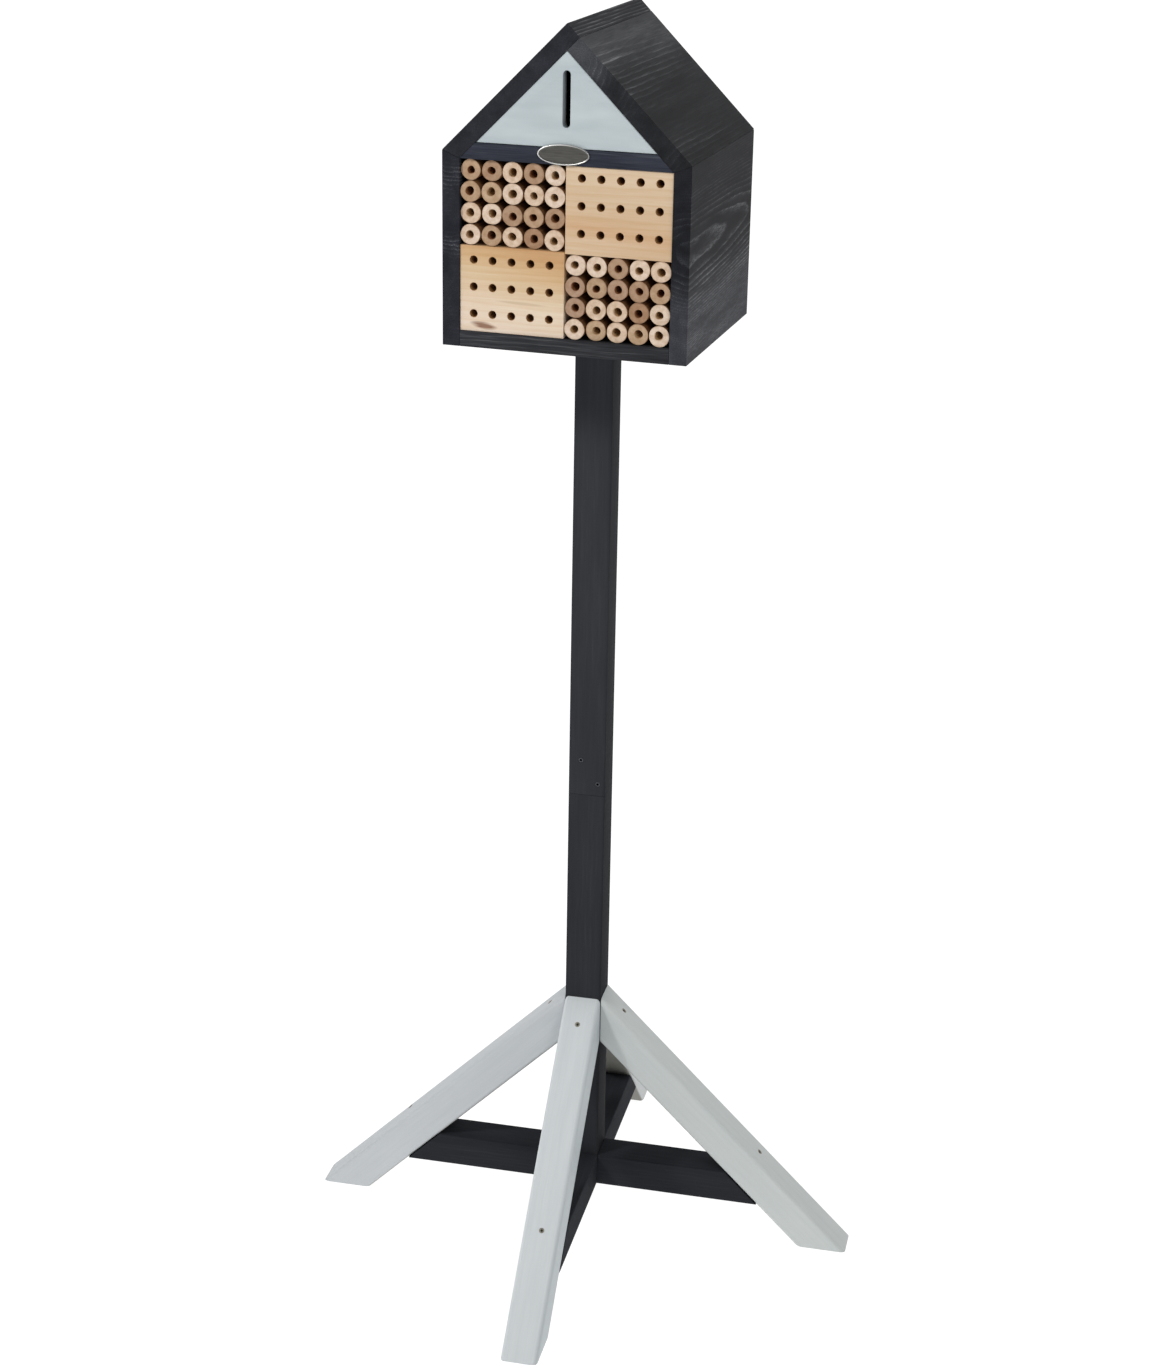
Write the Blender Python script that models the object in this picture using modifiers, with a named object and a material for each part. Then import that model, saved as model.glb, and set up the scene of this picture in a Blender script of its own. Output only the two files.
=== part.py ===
# Insect hotel on a post stand.
# A pitched-roof box of dark stained boards holds bamboo tubes and drilled softwood blocks.
# It stands on a spliced post with a cross of two lapped beams and four sloping legs.
# Metres, +Z up. The origin is on the ground under the post, and the house front faces -Y.

import math

import bmesh
import bpy
from mathutils import Matrix, Vector

# Clearance kept between pieces that touch
GAP = 0.0003

# House shell
HOUSE_WIDTH = 0.254
HOUSE_DEPTH = 0.248
EAVE_HEIGHT = 0.195
ROOF_PITCH = math.radians(45)
BOARD = 0.018
FLOOR_THICKNESS = 0.016
SHELF_THICKNESS = 0.016
BACK_THICKNESS = 0.010

# Gable panel with its upright entrance slot
PANEL_THICKNESS = 0.012
PANEL_RECESS = 0.001
SLOT_WIDTH = 0.0076
SLOT_LENGTH = 0.0542
SLOT_CENTRE_HEIGHT = 0.2504
SLOT_END_STEPS = 6

# Oval plaque on the front of the shelf
PLAQUE_WIDTH = 0.053
PLAQUE_HEIGHT = 0.0203
PLAQUE_THICKNESS = 0.0014
PLAQUE_SHIFT = -0.0019
PLAQUE_STEPS = 32

# Nest filling, almost flush with the front edges of the boards
FILL_SETBACK = 0.0015
HOLE_DIAMETER = 0.0080
HOLE_DEPTH = 0.150
DRILL_OVERRUN = 0.002
HOLE_COLUMNS = 5
HOLE_ROWS = 3
HOLE_COLUMN_PITCH = 0.01975
HOLE_ROW_PITCH = 0.0270
HOLE_SIDES = 12
UPPER_HOLES_SHIFT = (0.0015, 0.0048)
LOWER_HOLES_SHIFT = (-0.0004, 0.0020)
TUBE_DIAMETER = 0.0209
TUBE_BORE = 0.0080
TUBE_ROW_PITCH = 0.0212
TUBE_COLUMNS = 5
TUBE_ROWS = 4
TUBE_END_WALL = 0.016
TUBE_SETBACK_STEP = 0.0006
TUBE_SIDES = 14

# Stand
POST = 0.041
POST_TOP = 1.060
SPLICE_HEIGHT = 0.5415
SPLICE_LENGTH = 0.060
BEAM_WIDTH = 0.041
BEAM_TOP = 0.086
BEAM_BOTTOM = 0.048
LEG_WIDTH = 0.041
LEG_TOP = 0.291
LEG_HEEL = 0.258
LEG_TOE = 0.315
LEG_OVERLENGTH = 0.100
STAND_TURN = math.radians(4.5)
POST_ROUNDING = 0.0015
LEG_ROUNDING = 0.0035

# Sizes that follow from those above
HALF_WIDTH = HOUSE_WIDTH / 2
HALF_DEPTH = HOUSE_DEPTH / 2
INNER_HALF = HALF_WIDTH - BOARD
MITRE = ROOF_PITCH / 2
INNER_EAVE = EAVE_HEIGHT - BOARD * math.tan(MITRE)
RIDGE_HEIGHT = EAVE_HEIGHT + HALF_WIDTH * math.tan(ROOF_PITCH)
INNER_APEX = RIDGE_HEIGHT - BOARD / math.cos(ROOF_PITCH)
SHELF_TOP = INNER_EAVE + SHELF_THICKNESS
BACK_FRONT = HALF_DEPTH - BACK_THICKNESS
FILL_FRONT = FILL_SETBACK - HALF_DEPTH
TUBE_STACK = (TUBE_ROWS - 1) * TUBE_ROW_PITCH + TUBE_DIAMETER
BLOCK_HEIGHT = INNER_EAVE - FLOOR_THICKNESS - TUBE_STACK - 3 * GAP
LEG_SLOPE = LEG_TOP / (LEG_TOE - POST / 2)
HALF_LAP = (BEAM_TOP - BEAM_BOTTOM) / 2


# Scene and shared helpers
def clear_scene():
    for obj in list(bpy.data.objects):
        bpy.data.objects.remove(obj, do_unlink=True)


def new_collection(name):
    made = bpy.data.collections.new(name)
    bpy.context.scene.collection.children.link(made)
    return made


def new_finish(name, color, roughness, metallic=0.0):
    made = bpy.data.materials.new(name)
    made.use_nodes = True
    shader = made.node_tree.nodes["Principled BSDF"]
    shader.inputs["Base Color"].default_value = (*color, 1.0)
    shader.inputs["Roughness"].default_value = roughness
    shader.inputs["Metallic"].default_value = metallic
    return made


def new_empty(name, location, turn=0.0):
    made = bpy.data.objects.new(name, None)
    made.location = location
    made.rotation_euler = (0.0, 0.0, turn)
    parts.objects.link(made)
    return made


def place(name, data, finish, parent, location=(0.0, 0.0, 0.0), rotation=(0.0, 0.0, 0.0)):
    made = bpy.data.objects.new(name, data)
    made.parent = parent
    made.location = location
    made.rotation_euler = rotation
    data.materials.append(finish)
    parts.objects.link(made)
    return made


def as_mesh(bm, name):
    bmesh.ops.recalc_face_normals(bm, faces=bm.faces[:])
    mesh = bpy.data.meshes.new(name)
    bm.to_mesh(mesh)
    bm.free()
    return mesh


# A square-edged board between two opposite corners
def plank(low, high):
    low = Vector(low)
    high = Vector(high)
    size = high - low
    bm = bmesh.new()
    stretch = Matrix.LocRotScale((low + high) / 2, None, size)
    bmesh.ops.create_cube(bm, size=1.0, matrix=stretch)
    return bm


# A plank whose long edges are rounded along one axis
def planed_bar(low, high, axis, rounding):
    bm = plank(low, high)
    long_edges = []
    for edge in bm.edges:
        run = edge.verts[1].co - edge.verts[0].co
        if abs(run.normalized()[axis]) > 0.99:
            long_edges.append(edge)
    bmesh.ops.bevel(bm, geom=long_edges, offset=rounding, segments=3, profile=0.5, affect="EDGES")
    return bm


# A straight saw cut that takes away what lies on the side the normal points to
def saw(bm, point, normal):
    everything = bm.verts[:] + bm.edges[:] + bm.faces[:]
    result = bmesh.ops.bisect_plane(
        bm, geom=everything, dist=1e-7, plane_co=point, plane_no=normal, clear_outer=True
    )
    rim = [item for item in result["geom_cut"] if isinstance(item, bmesh.types.BMEdge)]
    bmesh.ops.edgeloop_fill(bm, edges=rim)


# A cut made by another shape, kept as a wire guide
def cut_with(obj, bm, name):
    cutter = bpy.data.objects.new(name, as_mesh(bm, name))
    cutter.parent = obj.parent
    cutter.location = obj.location
    cutter.rotation_euler = obj.rotation_euler
    cutter.display_type = "WIRE"
    cutter.hide_render = True
    cutters.objects.link(cutter)
    boolean = obj.modifiers.new(name, "BOOLEAN")
    boolean.operation = "DIFFERENCE"
    boolean.solver = "EXACT"
    boolean.object = cutter


# An upright sheet of even thickness from closed outlines given as points in X and Z
def sheet(name, outlines, thickness):
    curve = bpy.data.curves.new(name, "CURVE")
    curve.dimensions = "2D"
    curve.fill_mode = "BOTH"
    curve.extrude = thickness / 2
    for outline in outlines:
        spline = curve.splines.new("POLY")
        spline.points.add(len(outline) - 1)
        spline.use_cyclic_u = True
        for point, (x, z) in zip(spline.points, outline):
            point.co = (x, z, 0.0, 1.0)
    return curve


UPRIGHT = (math.pi / 2, 0.0, 0.0)


# House shell
def build_wall(name, side):
    inner = side * INNER_HALF
    outer = side * HALF_WIDTH
    low = (min(inner, outer), -HALF_DEPTH, 0.0)
    high = (max(inner, outer), HALF_DEPTH, EAVE_HEIGHT)
    bm = plank(low, high)
    eave = (outer, 0.0, EAVE_HEIGHT - GAP)
    saw(bm, eave, (-side * math.sin(MITRE), 0.0, math.cos(MITRE)))
    place(name, as_mesh(bm, name), stained_wood, house)


# Local X runs up the slope from the eave and local Z points out of the roof
def build_roof_board(name, side, length, turn):
    bm = plank((0.0, -HALF_DEPTH, -BOARD), (length, HALF_DEPTH, 0.0))
    saw(bm, (0.0, 0.0, 0.0), (-math.cos(MITRE), 0.0, -math.sin(MITRE)))
    eave = (side * HALF_WIDTH, 0.0, EAVE_HEIGHT)
    place(name, as_mesh(bm, name), stained_wood, house, eave, (0.0, -ROOF_PITCH, turn))


def build_floor():
    reach = INNER_HALF - GAP
    bm = plank((-reach, -HALF_DEPTH, 0.0), (reach, HALF_DEPTH, FLOOR_THICKNESS))
    place("floor_board", as_mesh(bm, "floor_board"), stained_wood, house)


# The shelf ends are sawn to lie against the underside of the roof boards
def build_shelf():
    reach = INNER_HALF - GAP
    bm = plank((-reach, -HALF_DEPTH, INNER_EAVE), (reach, BACK_FRONT - GAP, SHELF_TOP))
    for side in (-1, 1):
        slope = (side * math.sin(ROOF_PITCH), 0.0, math.cos(ROOF_PITCH))
        saw(bm, (side * reach, 0.0, INNER_EAVE), slope)
    place("shelf_board", as_mesh(bm, "shelf_board"), stained_wood, house)


def build_back():
    reach = INNER_HALF - GAP
    bottom = FLOOR_THICKNESS + GAP
    eave = INNER_EAVE - GAP
    apex = eave + reach * math.tan(ROOF_PITCH)
    outline = [(-reach, bottom), (reach, bottom), (reach, eave), (0.0, apex), (-reach, eave)]
    back = sheet("back_board", [outline], BACK_THICKNESS)
    place("back_board", back, stained_wood, house, (0.0, HALF_DEPTH - BACK_THICKNESS / 2, 0.0), UPRIGHT)


def slot_outline():
    radius = SLOT_WIDTH / 2
    straight = SLOT_LENGTH / 2 - radius
    points = []
    for end in (1, -1):
        for step in range(SLOT_END_STEPS + 1):
            angle = math.pi * step / SLOT_END_STEPS
            x = end * radius * math.cos(angle)
            z = SLOT_CENTRE_HEIGHT + end * (straight + radius * math.sin(angle))
            points.append((x, z))
    return points


def build_gable_panel():
    bottom = SHELF_TOP + GAP
    apex = INNER_APEX - GAP / math.cos(ROOF_PITCH)
    reach = (apex - bottom) / math.tan(ROOF_PITCH)
    triangle = [(-reach, bottom), (reach, bottom), (0.0, apex)]
    panel = sheet("gable_panel", [triangle, slot_outline()], PANEL_THICKNESS)
    middle = PANEL_RECESS + PANEL_THICKNESS / 2 - HALF_DEPTH
    place("gable_panel", panel, grey_painted_wood, house, (0.0, middle, 0.0), UPRIGHT)


def build_plaque():
    outline = []
    for step in range(PLAQUE_STEPS):
        angle = 2 * math.pi * step / PLAQUE_STEPS
        outline.append((PLAQUE_WIDTH / 2 * math.cos(angle), PLAQUE_HEIGHT / 2 * math.sin(angle)))
    plaque = sheet("oval_plaque", [outline], PLAQUE_THICKNESS)
    front = -HALF_DEPTH - GAP - PLAQUE_THICKNESS / 2
    centre = (PLAQUE_SHIFT, front, INNER_EAVE + PLAQUE_HEIGHT / 2)
    place("oval_plaque", plaque, plaque_metal, house, centre, UPRIGHT)


# Nest filling
def build_block(name, side, bottom, holes_shift):
    near = side * GAP
    far = side * (INNER_HALF - GAP)
    low = (min(near, far), FILL_FRONT, bottom)
    high = (max(near, far), BACK_FRONT - GAP, bottom + BLOCK_HEIGHT)
    block = place(name, as_mesh(plank(low, high), name), softwood, house)
    middle_x = (near + far) / 2 + holes_shift[0]
    middle_z = bottom + BLOCK_HEIGHT / 2 + holes_shift[1]
    drill = bmesh.new()
    for column in range(HOLE_COLUMNS):
        x = middle_x + (column - (HOLE_COLUMNS - 1) / 2) * HOLE_COLUMN_PITCH
        for row in range(HOLE_ROWS):
            z = middle_z + (row - (HOLE_ROWS - 1) / 2) * HOLE_ROW_PITCH
            y = FILL_FRONT + (HOLE_DEPTH - DRILL_OVERRUN) / 2
            along = Matrix.Translation((x, y, z)) @ Matrix.Rotation(math.pi / 2, 4, "X")
            bmesh.ops.create_cone(
                drill, cap_ends=True, segments=HOLE_SIDES, radius1=HOLE_DIAMETER / 2,
                radius2=HOLE_DIAMETER / 2, depth=HOLE_DEPTH + DRILL_OVERRUN, matrix=along
            )
    cut_with(block, drill, name + "_drill")


# One bamboo tube, open at its mouth and closed by the natural wall at its far end.
# The profile runs from the end of the bore out to the mouth and down the outside.
def tube_profile(name, length):
    depth = length - TUBE_END_WALL
    outer = TUBE_DIAMETER / 2
    inner = TUBE_BORE / 2
    profile = [(0.0, -depth), (inner, -depth), (inner, 0.0), (outer, 0.0), (outer, -length), (0.0, -length)]
    mesh = bpy.data.meshes.new(name)
    links = [(first, first + 1) for first in range(len(profile) - 1)]
    mesh.from_pydata([(x, 0.0, z) for x, z in profile], links, [])
    return mesh


def build_tubes(prefix, side, bottom):
    column_pitch = INNER_HALF / TUBE_COLUMNS
    for row in range(TUBE_ROWS):
        z = bottom + TUBE_DIAMETER / 2 + row * TUBE_ROW_PITCH
        for column in range(TUBE_COLUMNS):
            x = side * (column + 0.5) * column_pitch
            number = row * TUBE_COLUMNS + column + 1
            name = f"{prefix}_bamboo_tube_{number:02d}"
            setback = TUBE_SETBACK_STEP * ((3 * column + 2 * row) % 4)
            mouth = FILL_FRONT + setback
            length = BACK_FRONT - GAP - mouth
            mesh = tube_profile(name, length)
            tube = place(name, mesh, bamboo, house, (x, mouth, z), UPRIGHT)
            screw = tube.modifiers.new("turned", "SCREW")
            screw.axis = "Z"
            screw.steps = TUBE_SIDES
            screw.render_steps = TUBE_SIDES
            screw.use_merge_vertices = True
            screw.merge_threshold = 0.00001
            screw.use_smooth_shade = True


# Stand
# The two post lengths are notched to half their depth and lapped over each other.
# The upper length takes the front half of the lap.
def build_post():
    half = POST / 2
    lap_top = SPLICE_HEIGHT + SPLICE_LENGTH
    bm = planed_bar((-half, -half, SPLICE_HEIGHT), (half, half, POST_TOP - GAP), 2, POST_ROUNDING)
    upper = place("upper_post", as_mesh(bm, "upper_post"), stained_wood, stand)
    notch = plank((-POST, -GAP / 2, SPLICE_HEIGHT - POST), (POST, POST, lap_top + GAP))
    cut_with(upper, notch, "upper_post_notch")
    bm = planed_bar((-half, -half, BEAM_TOP + GAP), (half, half, lap_top), 2, POST_ROUNDING)
    lower = place("lower_post", as_mesh(bm, "lower_post"), stained_wood, stand)
    notch = plank((-POST, -POST, SPLICE_HEIGHT - GAP), (POST, GAP / 2, lap_top + POST))
    cut_with(lower, notch, "lower_post_notch")


# The outline of a leg seen from the side: its underside falls from the post to the heel
def underside_reach(height):
    return LEG_HEEL - height / LEG_SLOPE


# A beam of the cross, lying along local X, sawn at both ends to the slope of the legs
def build_beam(name, turn, notch_low, notch_high):
    reach = LEG_HEEL
    half = BEAM_WIDTH / 2
    bm = planed_bar((-reach, -half, BEAM_BOTTOM), (reach, half, BEAM_TOP), 0, POST_ROUNDING)
    for side in (-1, 1):
        end = (side * (underside_reach(BEAM_BOTTOM) - 2 * GAP), 0.0, BEAM_BOTTOM)
        saw(bm, end, Vector((side * LEG_SLOPE, 0.0, 1.0)).normalized())
    beam = place(name, as_mesh(bm, name), stained_wood, stand, rotation=(0.0, 0.0, turn))
    notch = plank((-half - GAP, -BEAM_WIDTH, notch_low), (half + GAP, BEAM_WIDTH, notch_high))
    cut_with(beam, notch, name + "_notch")


def build_cross():
    middle = BEAM_BOTTOM + HALF_LAP
    build_beam("side_beam", 0.0, middle - GAP / 2, BEAM_TOP + POST)
    build_beam("cross_beam", math.pi / 2, BEAM_BOTTOM - POST, middle + GAP / 2)


# A rounded bar set at the leg slope, sawn upright against the post and level on the ground
def build_leg(name, turn):
    fall = math.atan(LEG_SLOPE)
    thickness = (LEG_TOE - LEG_HEEL) * math.sin(fall)
    half = LEG_WIDTH / 2
    run = (LEG_TOE - POST / 2) / math.cos(fall)
    low = (-LEG_OVERLENGTH, -half, -thickness)
    high = (run + LEG_OVERLENGTH, half, 0.0)
    bm = planed_bar(low, high, 0, LEG_ROUNDING)
    lean = Matrix.Translation((POST / 2, 0.0, LEG_TOP)) @ Matrix.Rotation(fall, 4, "Y")
    bmesh.ops.transform(bm, matrix=lean, verts=bm.verts[:])
    saw(bm, (POST / 2 + GAP, 0.0, 0.0), (-1.0, 0.0, 0.0))
    saw(bm, (0.0, 0.0, 0.0), (0.0, 0.0, -1.0))
    place(name, as_mesh(bm, name), grey_painted_wood, stand, rotation=(0.0, 0.0, turn))


clear_scene()
parts = new_collection("insect_hotel")
cutters = new_collection("insect_hotel_cutters")

stained_wood = new_finish("stained_wood", (0.028, 0.030, 0.035), 0.75)
grey_painted_wood = new_finish("grey_painted_wood", (0.55, 0.58, 0.59), 0.60)
softwood = new_finish("softwood", (0.66, 0.47, 0.27), 0.65)
bamboo = new_finish("bamboo", (0.62, 0.46, 0.29), 0.50)
plaque_metal = new_finish("plaque_metal", (0.30, 0.29, 0.27), 0.35, 1.0)

house = new_empty("house", (0.0, 0.0, POST_TOP))
stand = new_empty("stand", (0.0, 0.0, 0.0), STAND_TURN)

build_wall("left_wall", -1)
build_wall("right_wall", 1)
slope_length = HALF_WIDTH / math.cos(ROOF_PITCH)
build_roof_board("left_roof_board", -1, slope_length, 0.0)
build_roof_board("right_roof_board", 1, slope_length - BOARD - GAP, math.pi)
build_floor()
build_shelf()
build_back()
build_gable_panel()
build_plaque()

fill_bottom = FLOOR_THICKNESS + GAP
build_block("lower_nest_block", -1, fill_bottom, LOWER_HOLES_SHIFT)
build_tubes("upper", -1, fill_bottom + BLOCK_HEIGHT + GAP)
build_tubes("lower", 1, fill_bottom)
build_block("upper_nest_block", 1, fill_bottom + TUBE_STACK + GAP, UPPER_HOLES_SHIFT)

build_post()
build_cross()
for name, turn in (("right_leg", 0.0), ("back_leg", 0.5), ("left_leg", 1.0), ("front_leg", 1.5)):
    build_leg(name, turn * math.pi)
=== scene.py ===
import math
import random

import bmesh
import bpy
from mathutils import Matrix, Vector


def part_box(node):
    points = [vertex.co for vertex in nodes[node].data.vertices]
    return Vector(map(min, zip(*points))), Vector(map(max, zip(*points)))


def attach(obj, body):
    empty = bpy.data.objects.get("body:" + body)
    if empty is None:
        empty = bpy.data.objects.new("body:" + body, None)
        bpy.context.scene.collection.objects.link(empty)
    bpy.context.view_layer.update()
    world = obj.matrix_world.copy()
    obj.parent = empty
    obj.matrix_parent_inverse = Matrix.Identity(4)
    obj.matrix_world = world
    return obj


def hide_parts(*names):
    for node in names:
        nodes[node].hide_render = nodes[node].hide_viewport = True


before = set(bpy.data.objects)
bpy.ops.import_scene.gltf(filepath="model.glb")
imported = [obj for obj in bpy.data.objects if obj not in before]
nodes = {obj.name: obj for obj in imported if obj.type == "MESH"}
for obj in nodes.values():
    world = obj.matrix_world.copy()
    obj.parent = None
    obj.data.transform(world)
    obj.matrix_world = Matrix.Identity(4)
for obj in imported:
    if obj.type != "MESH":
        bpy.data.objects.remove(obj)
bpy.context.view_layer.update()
scene = bpy.context.scene
mm = 0.001
print("frame loaded:", len(nodes), "nodes")


# colours are written as sRGB hex and shaded in linear light
def hexLinear(code):
    shades = [int(code[i:i + 2], 16) / 255 for i in (1, 3, 5)]
    return (*[s / 12.92 if s <= 0.04045 else ((s + 0.055) / 1.055) ** 2.4 for s in shades], 1.0)


# a socket by its number or its name, counting only those in use
def socketOf(sockets, key=0):
    inUse = [s for s in sockets if s.enabled]
    return inUse[key] if isinstance(key, int) else next(s for s in inUse if s.name == key)


# adds a node: settings are properties, socket values or ramp stops, links are nodes or sockets
def addNode(tree, kind, settings=None, links=None):
    node = tree.nodes.new(kind)
    for key, value in (settings or {}).items():
        if key == "stops":
            ramp = node.color_ramp
            while len(ramp.elements) < len(value):
                ramp.elements.new(1.0)
            for element, (spot, code) in zip(ramp.elements, value):
                element.position = spot
                element.color = hexLinear(code)
        elif isinstance(key, str) and hasattr(node, key):
            setattr(node, key, value)
        else:
            socketOf(node.inputs, key).default_value = value
    linkTo(tree, node, links or {})
    return node


def linkTo(tree, node, links):
    for key, source in links.items():
        if isinstance(source, bpy.types.Node):
            source = socketOf(source.outputs)
        tree.links.new(source, socketOf(node.inputs, key))


def newFinish(name, settings):
    finish = bpy.data.materials.new(name)
    finish.use_nodes = True
    shader = finish.node_tree.nodes["Principled BSDF"]
    for key, value in settings.items():
        shader.inputs[key].default_value = value
    return finish, finish.node_tree, shader


# camera: solved from the straight edges of the boards and the stand
view = {
    "place": (0.7475, -2.4924, 1.6674),
    "yaw": 16.876, "pitch": -21.039, "roll": -1.001,  # degrees
    "focalPixels": 2552.1, "tallPixels": 1365, "sensor": 36.0,
}
camera = bpy.data.objects.new("camera", bpy.data.cameras.new("camera"))
camera.data.sensor_width = view["sensor"]
camera.data.lens = view["focalPixels"] * view["sensor"] / view["tallPixels"]
camera.data.clip_end = 200
camera.matrix_world = (
    Matrix.Translation(view["place"])
    @ Matrix.Rotation(math.radians(view["yaw"]), 4, "Z")
    @ Matrix.Rotation(math.radians(view["pitch"]), 4, "X")
    @ Matrix.Rotation(math.radians(view["roll"]), 4, "Y")
    @ Matrix.Rotation(math.pi / 2, 4, "X")
)
scene.collection.objects.link(camera)
scene.camera = camera
scene.view_settings.view_transform = "Standard"
print("camera set")


# studio: a glowing white floor and backdrop, a key light from the left and a broader one from the right
studio = {
    "floorReach": 60.0, "floorDrop": 0.2 * mm, "floorGlow": 0.95,
    "tentFront": 0.18, "tentBack": 0.90,  # brightness of the surroundings before and behind the hotel
    "lights": {
        "keyLeft": {"at": (-1.75, -1.95, 2.85), "aim": (0, 0, 0.7), "size": 0.45, "watts": 44},
        "fillRight": {"at": (1.75, -1.95, 2.85), "aim": (0, 0, 0.7), "size": 1.1, "watts": 22},
    },
}


def coatedPaper():
    # matt coated paper, rolled out flat: an even pale ground with the faintest mottle
    finish, tree, shader = newFinish("coatedPaper", {
        "Roughness": 0.9, "Emission Color": hexLinear("#ffffff"), "Emission Strength": studio["floorGlow"]})
    place = addNode(tree, "ShaderNodeTexCoord")
    mottle = addNode(tree, "ShaderNodeTexNoise", {"Scale": 3.0, "Detail": 2.0},
                     {"Vector": place.outputs["Object"]})
    tint = addNode(tree, "ShaderNodeValToRGB", {"stops": [(0.3, "#7b7b7a"), (0.7, "#7d7d7c")]},
                   {"Fac": mottle})
    linkTo(tree, shader, {"Base Color": tint})
    return finish


def buildStudio():
    bm = bmesh.new()
    bmesh.ops.create_grid(bm, x_segments=8, y_segments=8, size=studio["floorReach"])
    mesh = bpy.data.meshes.new("floor")
    bm.to_mesh(mesh)
    bm.free()
    mesh.materials.append(coatedPaper())
    floor = bpy.data.objects.new("floor", mesh)
    floor.location.z = -studio["floorDrop"]
    scene.collection.objects.link(floor)
    tent = bpy.data.worlds.new("tent")
    tent.use_nodes = True
    tree = tent.node_tree
    backdrop = tree.nodes["Background"]
    backdrop.inputs["Color"].default_value = hexLinear("#ffffff")
    aim = addNode(tree, "ShaderNodeTexCoord")
    way = addNode(tree, "ShaderNodeSeparateXYZ", links={"Vector": aim.outputs["Generated"]})
    glow = addNode(tree, "ShaderNodeMapRange", {
        "From Min": -0.2, "From Max": 0.5, "To Min": studio["tentFront"], "To Max": studio["tentBack"]},
        {"Value": way.outputs["Y"]})
    # seen directly, the surroundings are plain white all round
    sight = addNode(tree, "ShaderNodeLightPath")
    shown = addNode(tree, "ShaderNodeMix", {"data_type": "FLOAT", "B": 1.0},
                    {"Factor": sight.outputs["Is Camera Ray"], "A": glow})
    linkTo(tree, backdrop, {"Strength": shown})
    scene.world = tent
    for name, lamp in studio["lights"].items():
        light = bpy.data.objects.new(name, bpy.data.lights.new(name, "AREA"))
        light.data.size = lamp["size"]
        light.data.energy = lamp["watts"]
        light.location = lamp["at"]
        aim = Vector(lamp["aim"]) - Vector(lamp["at"])
        light.rotation_euler = aim.to_track_quat("-Z", "Y").to_euler()
        scene.collection.objects.link(light)


buildStudio()
print("studio lit")


# the turn that lays a log along a direction
def lieAlong(along):
    return Vector((0, 1, 0)).rotation_difference(Vector(along)).to_euler()


# wood is cut from a log: rings lie round a pith line and fibres run along it
# log: a point on the pith, the way it lies, and the sizes of its rings, fibres and clouds
def woodPattern(tree, log):
    place = addNode(tree, "ShaderNodeTexCoord")
    inLog = addNode(tree, "ShaderNodeMapping", {
        "vector_type": "TEXTURE", "Location": log["pith"], "Rotation": lieAlong(log["along"]),
        "Scale": (1, log["stretch"], 1)}, {"Vector": place.outputs["Object"]})
    # how many rings lie between a point and the pith, with the rings swaying a little
    across = addNode(tree, "ShaderNodeVectorMath", {"operation": "MULTIPLY", 1: (1, 0, 1)}, {0: inLog})
    radius = addNode(tree, "ShaderNodeVectorMath", {"operation": "LENGTH"}, {0: across})
    count = addNode(tree, "ShaderNodeMath", {"operation": "DIVIDE", 1: log["ring"]}, {0: radius})
    thinned = addNode(tree, "ShaderNodeMath", {"operation": "POWER", 1: log["thinning"]}, {0: count})
    sway = addNode(tree, "ShaderNodeTexNoise", {
        "Scale": 1 / log["swaySize"], "Detail": 2.0, "Roughness": 0.55}, {"Vector": inLog})
    swayed = addNode(tree, "ShaderNodeMath", {"operation": "MULTIPLY_ADD", 1: log["sway"]},
                     {0: sway, 2: thinned})
    rings = addNode(tree, "ShaderNodeMath", {"operation": "FRACT"}, {0: swayed})
    drawn = addNode(tree, "ShaderNodeVectorMath", {"operation": "MULTIPLY", 1: (1, log["draw"], 1)},
                    {0: inLog})
    fibres = addNode(tree, "ShaderNodeTexNoise", {
        "Scale": 1 / log["fibre"], "Detail": 3.0, "Roughness": 0.6}, {"Vector": drawn})
    clouds = addNode(tree, "ShaderNodeTexNoise", {
        "Scale": 1 / log["cloud"], "Detail": 2.0, "Roughness": 0.5}, {"Vector": inLog})
    # end grain hides the rings
    facing = addNode(tree, "ShaderNodeVectorMath", {"operation": "DOT_PRODUCT", 1: log["along"]},
                     {0: place.outputs["Normal"]})
    square = addNode(tree, "ShaderNodeMath", {"operation": "ABSOLUTE"}, {0: facing})
    sideGrain = addNode(tree, "ShaderNodeMapRange", {
        "From Min": 0.55, "From Max": 0.85, "To Min": 1.0, "To Max": log["endGrain"]}, {"Value": square})
    return {"place": place, "rings": rings, "fibres": fibres, "clouds": clouds, "square": square,
            "sideGrain": sideGrain}


# a shade that changes from one edge of a board to the other: along an axis, over a span in metres
def shadeAcross(tree, place, axis, span, stops):
    spot = addNode(tree, "ShaderNodeVectorMath", {"operation": "DOT_PRODUCT", 1: axis},
                   {0: place.outputs["Object"]})
    share = addNode(tree, "ShaderNodeMapRange", {"From Min": span[0], "From Max": span[1]}, {"Value": spot})
    return addNode(tree, "ShaderNodeValToRGB", {"stops": stops}, {"Fac": share})


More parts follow.
